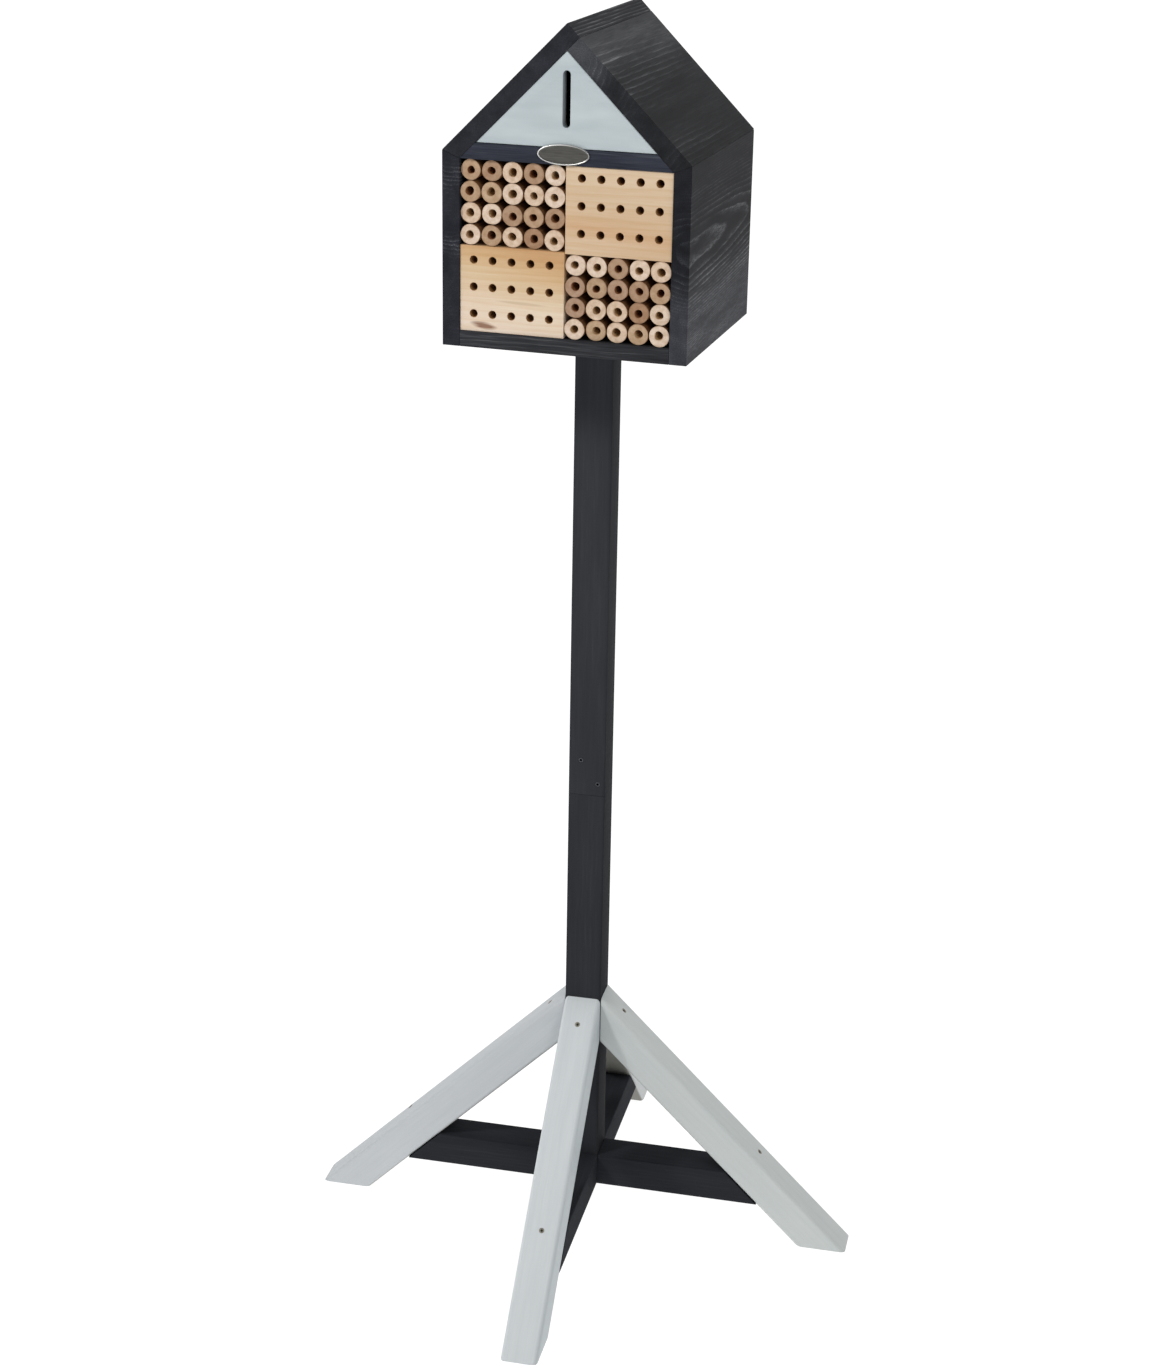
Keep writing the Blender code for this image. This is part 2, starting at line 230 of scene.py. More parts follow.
def planedSpruceStained(name, log):
    # planed spruce under a thin charcoal stain: soft early wood drinks it dark, hard late rings stay greyer
    # shows say how strongly the rings show across the board; tints lighten and darken the board across it,
    # and on the right wall, the right roof board and the post's right face they are painted sheen and shade
    log = {"stretch": 9, "ring": 4.2 * mm, "thinning": 1.0, "sway": 1.6, "swaySize": 9 * mm,
           "fibre": 1.1 * mm, "draw": 0.25, "cloud": 16 * mm, "endGrain": 0.10, "contrast": 1.0,
           "dark": "#2e2f34", "light": "#7c7e80", "fibreTone": "#c4c4c8", "cloudTone": "#d4d4d6",
           "relief": 0.3, "shine": 0.1, "shows": [], "tints": [], **log}
    finish, tree, shader = newFinish(name, {"IOR": 1.45, "Specular IOR Level": log["shine"]})
    wood = woodPattern(tree, log)
    late = addNode(tree, "ShaderNodeValToRGB", {"stops": [
        (0.0, "#000000"), (0.42, "#484848"), (0.68, "#a8a8a8"), (0.84, "#ffffff"), (0.94, "#505050"),
        (1.0, "#000000")]}, {"Fac": wood["rings"]})
    broken = addNode(tree, "ShaderNodeMapRange", {
        "From Min": 0.36, "From Max": 0.64, "To Min": 0.25}, {"Value": wood["fibres"]})
    patchy = addNode(tree, "ShaderNodeMapRange", {
        "From Min": 0.36, "From Max": 0.62, "To Min": 0.2 * log["contrast"], "To Max": log["contrast"]},
        {"Value": wood["clouds"]})
    share = late
    shows = [shadeAcross(tree, wood["place"], *zone) for zone in log["shows"]]
    for factor in [broken, patchy, wood["sideGrain"]] + shows:
        share = addNode(tree, "ShaderNodeMath", {"operation": "MULTIPLY"}, {0: share, 1: factor})
    rubbed = addNode(tree, "ShaderNodeMix", {
        "data_type": "RGBA", "A": hexLinear(log["dark"]), "B": hexLinear(log["light"])}, {"Factor": share})
    fibreTint = addNode(tree, "ShaderNodeValToRGB", {
        "stops": [(0.30, log["fibreTone"]), (0.65, "#ffffff")]}, {"Fac": wood["fibres"]})
    cloudTint = addNode(tree, "ShaderNodeValToRGB", {
        "stops": [(0.32, log["cloudTone"]), (0.68, "#ffffff")]}, {"Fac": wood["clouds"]})
    # end grain drinks more of the stain
    endTint = addNode(tree, "ShaderNodeValToRGB", {"stops": [(0.55, "#ffffff"), (0.85, "#e4e6ec")]},
                      {"Fac": wood["square"]})
    colour = rubbed
    tints = [shadeAcross(tree, wood["place"], *zone) for zone in log["tints"]]
    for tint in [fibreTint, cloudTint, endTint] + tints:
        colour = addNode(tree, "ShaderNodeMix", {
            "data_type": "RGBA", "blend_type": "MULTIPLY", "Factor": 1.0}, {"A": colour, "B": tint})
    gloss = addNode(tree, "ShaderNodeMapRange", {"To Min": 0.62, "To Max": 0.82}, {"Value": wood["fibres"]})
    height = addNode(tree, "ShaderNodeMix", {"data_type": "FLOAT", "Factor": 0.5},
                     {"A": share, "B": wood["fibres"]})
    relief = addNode(tree, "ShaderNodeBump", {"Strength": log["relief"], "Distance": 0.3 * mm},
                     {"Height": height})
    linkTo(tree, shader, {"Base Color": colour, "Roughness": gloss, "Normal": relief})
    return finish


def brushedGreyPaint(name, log):
    # spruce brushed with a pale grey paint: even and matt, with the grain only just showing through
    finish, tree, shader = newFinish(name, {"IOR": 1.47, "Specular IOR Level": 0.2})
    log = {"stretch": 12, "ring": 5.0 * mm, "thinning": 1.0, "sway": 1.5, "swaySize": 14 * mm,
           "fibre": 1.6 * mm, "draw": 0.3, "cloud": 26 * mm, "endGrain": 0.3, "under": (0, 0, -1),
           "cloudTone": "#f6f7f7", "relief": 0.1, "tints": [], **log}
    wood = woodPattern(tree, log)
    thin, full = log["tones"]
    ringTint = addNode(tree, "ShaderNodeValToRGB", {
        "stops": [(0.0, full), (0.7, full), (0.9, thin), (1.0, full)]}, {"Fac": wood["rings"]})
    fibreTint = addNode(tree, "ShaderNodeValToRGB", {"stops": [(0.3, thin), (0.7, full)]},
                        {"Fac": wood["fibres"]})
    colour = addNode(tree, "ShaderNodeMix", {"data_type": "RGBA", "Factor": 0.6},
                     {"A": ringTint, "B": fibreTint})
    cloudTint = addNode(tree, "ShaderNodeValToRGB", {"stops": [(0.35, log["cloudTone"]), (0.70, "#ffffff")]},
                        {"Fac": wood["clouds"]})
    # painted shade: faces turned to the underside are coloured darker, standing in for the shade beneath
    below = addNode(tree, "ShaderNodeVectorMath", {"operation": "DOT_PRODUCT", 1: log["under"]},
                    {0: wood["place"].outputs["Normal"]})
    undersideShade = addNode(tree, "ShaderNodeValToRGB", {"stops": [(0.6, "#ffffff"), (0.9, "#a39f98")]},
                        {"Fac": below})
    tints = [shadeAcross(tree, wood["place"], *zone) for zone in log["tints"]]
    for tint in [cloudTint, undersideShade] + tints:
        colour = addNode(tree, "ShaderNodeMix", {
            "data_type": "RGBA", "blend_type": "MULTIPLY", "Factor": 1.0}, {"A": colour, "B": tint})
    gloss = addNode(tree, "ShaderNodeMapRange", {"To Min": 0.55, "To Max": 0.68}, {"Value": wood["fibres"]})
    relief = addNode(tree, "ShaderNodeBump", {"Strength": log["relief"], "Distance": 0.2 * mm},
                     {"Height": wood["fibres"]})
    linkTo(tree, shader, {"Base Color": colour, "Roughness": gloss, "Normal": relief})
    return finish


def planedPineBare(name, log):
    # bare planed pine: cream sapwood shading into honey heartwood, soft broad bands and a dry dull sheen
    finish, tree, shader = newFinish(name, {"IOR": 1.5, "Specular IOR Level": 0.3})
    # heart says how the wood is coloured across the board
    log = {"stretch": 10, "ring": 8.0 * mm, "thinning": 1.0, "sway": 2.0, "swaySize": 18 * mm,
           "fibre": 1.4 * mm, "draw": 0.3, "cloud": 24 * mm, "endGrain": 0.5, "resin": [], **log}
    wood = woodPattern(tree, log)
    ringTint = addNode(tree, "ShaderNodeValToRGB", {"stops": [
        (0.0, "#ffffff"), (0.45, "#fefcfa"), (0.85, "#faf4ec"), (1.0, "#fefcf9")]}, {"Fac": wood["rings"]})
    fibreTint = addNode(tree, "ShaderNodeValToRGB", {"stops": [(0.3, "#f9f4ec"), (0.7, "#ffffff")]},
                        {"Fac": wood["fibres"]})
    cloudTint = addNode(tree, "ShaderNodeValToRGB", {"stops": [(0.35, "#f8f0e7"), (0.70, "#ffffff")]},
                        {"Fac": wood["clouds"]})
    colour = shadeAcross(tree, wood["place"], *log["heart"])
    for tint in (ringTint, fibreTint, cloudTint):
        colour = addNode(tree, "ShaderNodeMix", {
            "data_type": "RGBA", "blend_type": "MULTIPLY", "Factor": 1.0}, {"A": colour, "B": tint})
    # streaks of resin lie along the grain
    for resin in log["resin"]:
        inStreak = addNode(tree, "ShaderNodeMapping", {
            "vector_type": "TEXTURE", "Location": resin["at"], "Rotation": (0, resin["tilt"], 0),
            "Scale": resin["size"]}, {"Vector": wood["place"].outputs["Object"]})
        blot = addNode(tree, "ShaderNodeTexGradient", {"gradient_type": "SPHERICAL"}, {"Vector": inStreak})
        patch = addNode(tree, "ShaderNodeMath", {"operation": "MULTIPLY"}, {0: blot, 1: wood["fibres"]})
        soaked = addNode(tree, "ShaderNodeMapRange", {
            "From Min": 0.08, "From Max": 0.30, "To Max": resin["depth"]}, {"Value": patch})
        colour = addNode(tree, "ShaderNodeMix", {"data_type": "RGBA", "B": hexLinear(resin["tone"])},
                         {"Factor": soaked, "A": colour})
    gloss = addNode(tree, "ShaderNodeMapRange", {"To Min": 0.55, "To Max": 0.7}, {"Value": wood["fibres"]})
    relief = addNode(tree, "ShaderNodeBump", {"Strength": 0.15, "Distance": 0.2 * mm},
                     {"Height": wood["fibres"]})
    linkTo(tree, shader, {"Base Color": colour, "Roughness": gloss, "Normal": relief})
    return finish


# puts a finished mesh into the hotel, riding on its one body
def newPiece(name, mesh, finishes, stands=()):
    piece = bpy.data.objects.new(name, mesh)
    for finish in finishes:
        mesh.materials.append(finish)
    scene.collection.objects.link(piece)
    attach(piece, "root")
    if stands:
        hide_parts(*stands)
    return piece


def asMesh(bm, name, sharp=35):
    bmesh.ops.recalc_face_normals(bm, faces=bm.faces[:])
    mesh = bpy.data.meshes.new(name)
    bm.to_mesh(mesh)
    bm.free()
    mesh.shade_smooth()
    mesh.set_sharp_from_angle(angle=math.radians(sharp))
    return mesh


# takes a cutter out of a shape; the faces it leaves carry the cutter's finish number
def cutAway(bm, cutter, finishCount=1):
    helpers = []
    for part in (bm, cutter):
        bmesh.ops.recalc_face_normals(part, faces=part.faces[:])
        mesh = bpy.data.meshes.new("helper")
        part.to_mesh(mesh)
        part.free()
        for spare in range(finishCount):
            mesh.materials.append(None)
        helpers.append(bpy.data.objects.new("helper", mesh))
        scene.collection.objects.link(helpers[-1])
    cut = helpers[0].modifiers.new("cut", "BOOLEAN")
    cut.operation = "DIFFERENCE"
    cut.solver = "EXACT"
    cut.object = helpers[1]
    bpy.context.view_layer.update()
    depsgraph = bpy.context.evaluated_depsgraph_get()
    result = bpy.data.meshes.new_from_object(helpers[0].evaluated_get(depsgraph))
    for helper in helpers:
        old = helper.data
        bpy.data.objects.remove(helper, do_unlink=True)
        bpy.data.meshes.remove(old)
    out = bmesh.new()
    out.from_mesh(result)
    bpy.data.meshes.remove(result)
    return out


def boxShape(low, high):
    bm = bmesh.new()
    middle = (Vector(high) + Vector(low)) / 2
    bmesh.ops.create_cube(bm, size=1.0, matrix=Matrix.LocRotScale(middle, None, Vector(high) - Vector(low)))
    return bm


# rounds the chosen edges, or every edge that turns a corner
def easeEdges(bm, width, segments, axis=None):
    chosen = []
    for edge in bm.edges:
        run = (edge.verts[1].co - edge.verts[0].co).normalized()
        if axis is None and edge.calc_face_angle(0) > math.radians(40):
            chosen.append(edge)
        if axis is not None and abs(run[axis]) > 0.99:
            chosen.append(edge)
    bmesh.ops.bevel(bm, geom=chosen, offset=width, segments=segments, profile=0.5, affect="EDGES",
                    clamp_overlap=True)


def sawOff(bm, point, normal):
    everything = bm.verts[:] + bm.edges[:] + bm.faces[:]
    cut = bmesh.ops.bisect_plane(bm, geom=everything, dist=1e-7, plane_co=point, plane_no=normal,
                                 clear_outer=True)
    bmesh.ops.edgeloop_fill(bm, edges=[e for e in cut["geom_cut"] if isinstance(e, bmesh.types.BMEdge)])


# a round pit with a countersunk rim, to be taken out of wood: its axis runs along the normal
def pitShape(bm, point, normal, radius, depth, rim, sides=28, finishNumber=0):
    seat = Matrix.Translation(point) @ normal.to_track_quat("Z", "Y").to_matrix().to_4x4()
    profile = [(0, -depth), (radius, -depth), (radius, -rim), (radius + rim, 0), (radius + rim, depth),
               (0, depth)]
    rings = []
    for r, z in profile:
        if r == 0:
            rings.append([bm.verts.new(seat @ Vector((0, 0, z)))])
            continue
        turns = [2 * math.pi * i / sides for i in range(sides)]
        rings.append([bm.verts.new(seat @ Vector((r * math.cos(t), r * math.sin(t), z))) for t in turns])
    made = []
    for a, b in zip(rings, rings[1:]):
        for i in range(sides):
            corners = [a[i % len(a)], a[(i + 1) % len(a)], b[(i + 1) % len(b)], b[i % len(b)]]
            made.append(bm.faces.new(list(dict.fromkeys(corners))))
    for face in made:
        face.material_index = finishNumber


# house shell: the frame's own boards, their edges eased and each cut from its own log
downSlope = (math.sqrt(0.5), 0, -math.sqrt(0.5))
shell = {
    "easing": 0.25 * mm, "ridgeEasing": 0.5 * mm,
    "logs": {
        "left_wall": {
            "pith": (-0.118, 0, 1.330), "along": (0, 1, 0), "endGrain": 0.7, "contrast": 1.5,
            "dark": "#36373d",
            "shows": [((0, 0, 1), (1.060, 1.255), [
                (0.0, "#505050"), (0.45, "#404040"), (0.53, "#ffffff"), (0.62, "#404040"),
                (0.78, "#505050"), (0.86, "#ffffff"), (0.95, "#404040")])]},
        # right wall: base colours lighter than the left wall's, and tints leave it lighter low down: painted
        # sheen from the backdrop and the floor
        "right_wall": {
            "pith": (0.127, -0.124, 1.170), "along": (0.10, 1, 0.02), "ring": 19 * mm, "thinning": 2.0,
            "sway": 0.8, "swaySize": 14 * mm, "endGrain": 0.3, "contrast": 1.8,
            "dark": "#505155", "light": "#b4b6b7",
            "shows": [((0, 0, 1), (1.060, 1.255), [
                (0.0, "#808080"), (0.25, "#707070"), (0.38, "#e0e0e0"), (0.66, "#ffffff"),
                (0.78, "#a0a0a0"), (0.9, "#707070")])],
            "tints": [((0, 0, 1), (1.060, 1.255), [
                (0.0, "#ffffff"), (0.28, "#f6f6f6"), (0.45, "#88888a"), (1.0, "#98989a")])]},
        "left_roof_board": {
            "pith": (0.046, 0, 1.336), "along": (0.01, 1, 0), "ring": 3.7 * mm, "sway": 0.8,
            "contrast": 1.4, "dark": "#393a3e", "light": "#8a8c8d",
            # the rings show most along the ridge
            "shows": [((1, 0, 0), (-0.03, 0.0), [(0.0, "#808080"), (0.9, "#808080"), (1.0, "#ffffff")])]},
        # right roof board: base colours much lighter than the left roof board's, painted sheen from the
        # bright backdrop; its tints make it lighter towards the ridge and towards the back
        "right_roof_board": {
            "pith": (-0.005, 0, 1.352), "along": (0.02, 1, 0.02), "ring": 5.8 * mm, "sway": 0.8,
            "swaySize": 13 * mm, "endGrain": 0.22, "contrast": 1.9, "dark": "#626365", "light": "#b8babb",
            # the bands fade from the front to the back and leave the middle of the slope plain
            "shows": [
                (downSlope, (-0.9772, -0.7976), [
                    (0.08, "#404040"), (0.20, "#606060"), (0.28, "#ffffff"), (0.50, "#f0f0f0"),
                    (0.62, "#707070"), (0.80, "#606060"), (0.92, "#e0e0e0")]),
                ((0, 1, 0), (-0.124, 0.124), [(0.0, "#ffffff"), (0.45, "#c0c0c0"), (1.0, "#585858")])],
            "tints": [
                (downSlope, (-0.9772, -0.7976), [
                    (0.08, "#ffffff"), (0.24, "#f6f6f6"), (0.39, "#a2a3a4"), (1.0, "#8c8d8e")]),
                ((0, 1, 0), (-0.124, 0.124), [(0.0, "#eaeaea"), (0.55, "#ededed"), (1.0, "#ffffff")])]},
        "floor_board": {"pith": (0, -0.150, 1.030), "along": (1, 0, 0), "contrast": 0.4, "dark": "#38393c"},
        "shelf_board": {"pith": (0, -0.160, 1.290), "along": (1, 0, 0), "contrast": 0.2, "dark": "#3c404b"},
        "back_board": {"pith": (0.03, 0.160, 1.20), "along": (0.01, 0, 1), "ring": 9 * mm, "contrast": 0.3},
    },
}


def finishBoard(name, finish, easing):
    board = nodes[name]
    board.data.materials.clear()
    board.data.materials.append(finish)
    weld = board.modifiers.new("weld", "WELD")
    weld.merge_threshold = 0.01 * mm
    ease = board.modifiers.new("ease", "BEVEL")
    ease.width = easing
    ease.segments = 3
    ease.limit_method = "ANGLE"
    ease.angle_limit = math.radians(30)
    board.modifiers.new("even", "WEIGHTED_NORMAL")


for name, log in shell["logs"].items():
    easing = shell["ridgeEasing"] if name == "left_roof_board" else shell["easing"]
    finishBoard(name, planedSpruceStained("planedSpruceStained." + name, log), easing)
print("shell boards finished")


# gable panel: a triangle of painted board with an upright slot, all its edges rubbed round
gable = {
    "slotWidth": 7.6 * mm, "slotLength": 54.2 * mm, "slotCentre": 250.4 * mm, "houseBottom": 1.060,
    "easing": 0.9 * mm, "slotSteps": 16, "slotSlack": 0.1 * mm,
}


def slotOutline():
    radius = gable["slotWidth"] / 2
    straight = gable["slotLength"] / 2 - radius
    centre = gable["houseBottom"] + gable["slotCentre"]
    points = []
    for end in (1, -1):
        for step in range(gable["slotSteps"] + 1):
            angle = math.pi * step / gable["slotSteps"]
            rise = straight + radius * math.sin(angle)
            points.append((end * radius * math.cos(angle), centre + end * rise))
    return points


# an upright plate from closed outlines in x and z, its edges rounded, front at the given depth
def easedPlate(name, outlines, front, thickness, easing):
    curve = bpy.data.curves.new(name, "CURVE")
    curve.dimensions = "2D"
    curve.fill_mode = "BOTH"
    curve.extrude = thickness / 2 - easing
    curve.bevel_depth = easing
    curve.bevel_resolution = 3
    curve.offset = -easing
    for outline in outlines:
        spline = curve.splines.new("POLY")
        spline.points.add(len(outline) - 1)
        spline.use_cyclic_u = True
        for point, (x, z) in zip(spline.points, outline):
            point.co = (x, z, 0.0, 1.0)
    helper = bpy.data.objects.new(name, curve)
    scene.collection.objects.link(helper)
    bpy.context.view_layer.update()
    depsgraph = bpy.context.evaluated_depsgraph_get()
    plate = bpy.data.meshes.new_from_object(helper.evaluated_get(depsgraph))
    bpy.data.objects.remove(helper, do_unlink=True)
    bpy.data.curves.remove(curve)
    bm = bmesh.new()
    bm.from_mesh(plate)
    bpy.data.meshes.remove(plate)
    bmesh.ops.remove_doubles(bm, verts=bm.verts[:], dist=0.002 * mm)
    upright = Matrix.Translation((0, front + thickness / 2, 0)) @ Matrix.Rotation(math.pi / 2, 4, "X")
    bmesh.ops.transform(bm, matrix=upright, verts=bm.verts[:])
    return bm


def buildGable():
    low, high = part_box("gable_panel")
    triangle = [(low.x, low.z), (high.x, low.z), (0.0, high.z)]
    bm = easedPlate("gable", [triangle, slotOutline()], low.y, high.y - low.y, gable["easing"])
    # painted shade: the walls of the slot take a darker grey, standing in for the shade inside the slot
    reach = gable["slotWidth"] / 2 + gable["slotSlack"]
    centre = gable["houseBottom"] + gable["slotCentre"]
    for face in bm.faces:
        spot = face.calc_center_median()
        inSlot = abs(spot.x) < reach and abs(spot.z - centre) < gable["slotLength"] / 2
        if inSlot and abs(face.normal.y) < 0.3:
            face.material_index = 1
    paint = brushedGreyPaint("brushedGreyPaint.gable", {
        "pith": (0.02, 0.10, 1.21), "along": (1, 0, 0), "tones": ("#b9c2c5", "#bcc5c8"), "stretch": 4,
        "cloud": 18 * mm, "cloudTone": "#f0f2f3"})
    slotShadePaint = brushedGreyPaint("brushedGreyPaint.slotShaded", {
        "pith": (0.02, 0.10, 1.21), "along": (1, 0, 0), "tones": ("#868d8f", "#949b9d")})
    newPiece("gablePanel", asMesh(bm, "gablePanel"), [paint, slotShadePaint],
             ["gable_panel"])


buildGable()
print("gable panel built")


# plaque: an oval plate with a raised bright rim round a bare field
plaque = {
    "steps": 96,
    "rim": [(0.0, 0.0), (0.0, 0.8), (0.15, 1.15), (0.5, 1.38), (0.9, 1.34), (1.2, 1.05)],  # mm in, mm up
    "field": [(3.0, 1.05), (6.0, 1.12), (8.5, 1.16)],
}


def polishedZincPaintedHighlight():
    # polished zinc casting: a clean edge with fine handling marks, its colour lightest at the left: a
    # painted highlight
    finish, tree, shader = newFinish("polishedZincPaintedHighlight", {"Metallic": 1.0})
    place = addNode(tree, "ShaderNodeTexCoord")
    marks = addNode(tree, "ShaderNodeTexNoise", {"Scale": 1 / (1.5 * mm), "Detail": 4.0},
                    {"Vector": place.outputs["Object"]})
    # painted highlight: the zinc is coloured lighter towards the left
    tint = shadeAcross(tree, place, (1, 0, 0), (-27 * mm, 27 * mm), [
        (0.0, "#f0f0ee"), (0.3, "#d6d6d4"), (0.7, "#b6b6b4"), (1.0, "#a0a09e")])
    gloss = addNode(tree, "ShaderNodeMapRange", {"To Min": 0.30, "To Max": 0.45}, {"Value": marks})
    linkTo(tree, shader, {"Base Color": tint, "Roughness": gloss})
    return finish


def blackenedZinc():
    # blackened zinc, brushed level: a dull warm grey with fine strokes along the plate
    finish, tree, shader = newFinish("blackenedZinc", {"Metallic": 1.0})
    place = addNode(tree, "ShaderNodeTexCoord")
    strokes = addNode(tree, "ShaderNodeMapping", {"Scale": (0.06, 1, 1)},
                      {"Vector": place.outputs["Object"]})
    brush = addNode(tree, "ShaderNodeTexNoise", {"Scale": 1 / (0.8 * mm), "Detail": 3.0},
                    {"Vector": strokes})
    tint = addNode(tree, "ShaderNodeValToRGB", {"stops": [(0.3, "#504f4c"), (0.7, "#64635f")]},
                   {"Fac": brush})
    gloss = addNode(tree, "ShaderNodeMapRange", {"To Min": 0.35, "To Max": 0.5}, {"Value": brush})
    relief = addNode(tree, "ShaderNodeBump", {"Strength": 0.2, "Distance": 0.1 * mm}, {"Height": brush})
    linkTo(tree, shader, {"Base Color": tint, "Roughness": gloss, "Normal": relief})
    return finish


def buildPlaque():
    low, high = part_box("oval_plaque")
    middle = (low + high) / 2
    wide, tall = (high.x - low.x) / 2, (high.z - low.z) / 2
    bm = bmesh.new()
    turns = [2 * math.pi * i / plaque["steps"] for i in range(plaque["steps"])]
    rings = []
    for inset, up in plaque["rim"] + plaque["field"]:
        a, b = wide - inset * mm, tall - inset * mm
        spots = [(middle.x + a * math.cos(t), high.y - up * mm, middle.z + b * math.sin(t)) for t in turns]
        rings.append([bm.verts.new(spot) for spot in spots])
    rimSteps = len(plaque["rim"]) - 1
    for step, (outer, inner) in enumerate(zip(rings, rings[1:])):
        for i in range(len(turns)):
            j = (i + 1) % len(turns)
            face = bm.faces.new((outer[i], outer[j], inner[j], inner[i]))
            face.material_index = 0 if step < rimSteps else 1
    bm.faces.new(rings[-1]).material_index = 1
    bm.faces.new(list(reversed(rings[0])))
    newPiece("ovalPlaque", asMesh(bm, "ovalPlaque", 50), [polishedZincPaintedHighlight(), blackenedZinc()],
             ["oval_plaque"])


buildPlaque()
print("plaque built")


# nest blocks: pine offcuts drilled across the grain
blocks = {
    "holeRadius": 4.0 * mm, "holeDepth": 150 * mm, "rim": 0.25 * mm, "easing": 0.4 * mm,
    "columns": 5, "rows": 3, "columnPitch": 19.75 * mm, "rowPitch": 27.0 * mm,
    "blocks": {
        "lower_nest_block": {
            "piece": "leftNestBlock", "shift": (-0.4 * mm, 2.0 * mm),
            "log": {"pith": (0, -0.110, 1.215), "along": (1, 0.02, 0.01),
                    "heart": ((0.2, 0, 1), (1.065, 1.151), [
                        (0.0, "#e7dacd"), (0.4, "#e1d1bc"), (0.62, "#dac6a8"), (0.8, "#d4b893"),
                        (1.0, "#cba77e")]),
                    "resin": [
                        {"at": (-0.084, -0.1225, 1.083), "size": (0.018, 0.02, 0.005), "tilt": 0.12,
                         "tone": "#7a4f35", "depth": 0.85},
                        {"at": (-0.044, -0.1225, 1.108), "size": (0.036, 0.02, 0.0024), "tilt": 0.03,
                         "tone": "#b08f68", "depth": 0.4}]}},
        "upper_nest_block": {
            "piece": "rightNestBlock", "shift": (1.5 * mm, 4.8 * mm),
            "log": {"pith": (0, -0.090, 1.075), "along": (1, 0.02, 0.01),
                    "heart": ((0.12, 0, 1), (1.168, 1.254), [
                        (0.0, "#d3bda2"), (0.14, "#d3bb9f"), (0.27, "#cfb090"), (0.36, "#d0b698"),
                        (0.6, "#d2bda2"), (1.0, "#dbcab4")])}},
    },
}


def boredPine():
    # pine torn by the drill: a dull brown fibrous wall
    finish, tree, shader = newFinish("boredPine", {"IOR": 1.5})
    place = addNode(tree, "ShaderNodeTexCoord")
    torn = addNode(tree, "ShaderNodeTexNoise", {"Scale": 1 / (1.2 * mm), "Detail": 4.0},
                   {"Vector": place.outputs["Object"]})
    tint = addNode(tree, "ShaderNodeValToRGB", {"stops": [(0.3, "#8a6238"), (0.7, "#b48a58")]},
                   {"Fac": torn})
    gloss = addNode(tree, "ShaderNodeMapRange", {"To Min": 0.75, "To Max": 0.9}, {"Value": torn})
    relief = addNode(tree, "ShaderNodeBump", {"Strength": 0.4, "Distance": 0.3 * mm}, {"Height": torn})
    linkTo(tree, shader, {"Base Color": tint, "Roughness": gloss, "Normal": relief})
    return finish


def buildBlock(node, block, bored):
    low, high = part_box(node)
    middle = (low + high) / 2
    bm = boxShape(low, high)
    easeEdges(bm, blocks["easing"], 3)
    drill = bmesh.new()
    for column in range(blocks["columns"]):
        x = middle.x + block["shift"][0] + (column - (blocks["columns"] - 1) / 2) * blocks["columnPitch"]
        for row in range(blocks["rows"]):
            z = middle.z + block["shift"][1] + (row - (blocks["rows"] - 1) / 2) * blocks["rowPitch"]
            pitShape(drill, (x, low.y, z), Vector((0, -1, 0)), blocks["holeRadius"], blocks["holeDepth"],
                     blocks["rim"], finishNumber=1)
    bm = cutAway(bm, drill, 2)
    planed = planedPineBare("planedPineBare." + block["piece"], block["log"])
    newPiece(block["piece"], asMesh(bm, block["piece"]), [planed, bored], [node])


bored = boredPine()
for node, block in blocks["blocks"].items():
    buildBlock(node, block, bored)
print("nest blocks drilled")


# bamboo tubes: no two alike, sawn square at the mouth and closed by a joint wall at the far end
bamboo = {
    "sides": 40, "outerRim": 0.35 * mm, "boreRim": 0.3 * mm, "endWall": 16 * mm, "radius": 10.58 * mm,
    "bore": (4.0 * mm, 4.7 * mm), "stray": 0.8 * mm, "sawTilt": 0.03, "faceRings": 4,
    "skinShape": (0.018, 0.016), "boreShape": (0.07, 0.02),  # how oval and how square, by radius
    "mouthSetback": 0.3 * mm, "boreLip": 0.1, "boreStep": 0.25,  # lip and step as shares of wall and length
    "seedStart": {"upper": 100, "lower": 200},
    "tones": {  # middle of the wall, then the wall by the skin
        "pale": ("#ddc9b7", "#d0b9a2"), "cream": ("#d8c1ab", "#cbb096"), "sand": ("#bda286", "#af9073"),
        "tan": ("#b5987c", "#a6886b"), "brown": ("#ab8d73", "#9a7a5e"), "rose": ("#ad8f78", "#9b7b64"),
        "umber": ("#a48266", "#917054"),
    },
    "linings": {"pale": ("#b8976f", "#d6b991"), "deep": ("#85522f", "#ad7b50")},
    "paleTones": ("pale", "cream", "sand"),
    # rows from the top, tubes from left to right
    "upper": ["tan brown cream brown pale", "tan sand pale cream pale",
              "cream pale brown tan brown", "pale tan cream umber cream"],
    "lower": ["pale pale brown pale cream", "rose tan rose brown tan",
              "rose cream cream umber pale", "pale sand cream sand pale"],
}


